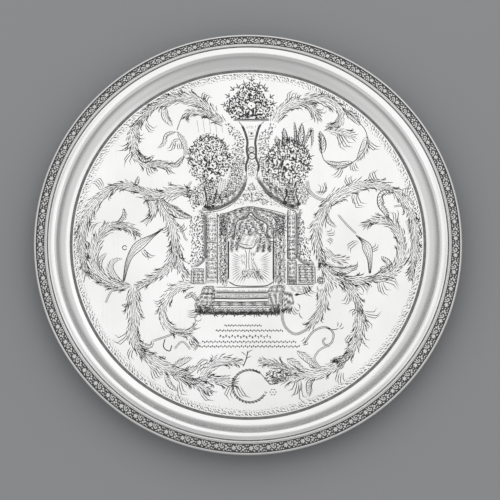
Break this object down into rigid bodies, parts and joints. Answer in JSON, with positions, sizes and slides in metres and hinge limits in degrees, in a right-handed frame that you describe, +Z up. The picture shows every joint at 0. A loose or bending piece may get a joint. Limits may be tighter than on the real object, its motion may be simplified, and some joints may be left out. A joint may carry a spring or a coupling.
{
  "type": "round footed salver",
  "caption": "Large round silver salver: flat engraved floor, curved bouge, patterned strip between a beaded wire and a deep edge wire, and soldered scroll feet.",
  "frame": {"origin": "centre of the plane that the four feet stand on, under the middle of the tray", "axes": "+Z up, along the tray's axis; +Y towards the top of the engraved scene; +X to its right"},
  "size_m": [0.4999, 0.5, 0.0366],
  "materials": {
    "sheet_silver": "polished silver sheet with fine hand-polish scratches and dark engraving",
    "border_silver": "die-rolled silver with an oxidised matte ground",
    "wire_silver": "polished silver wire",
    "cast_silver": "cast silver, polished, darker in its recesses"
  },
  "bodies": {
    "root": {"tray_body": "sheet_silver", "border_strip": "border_silver", "bead_wire": "wire_silver", "edge_wire": "wire_silver", "foot_front_right": "cast_silver", "foot_front_left": "cast_silver", "foot_back_left": "cast_silver", "foot_back_right": "cast_silver", "foot_plate_front_right": "cast_silver", "foot_plate_front_left": "cast_silver", "foot_plate_back_left": "cast_silver", "foot_plate_back_right": "cast_silver"}
  },
  "joints": []
}
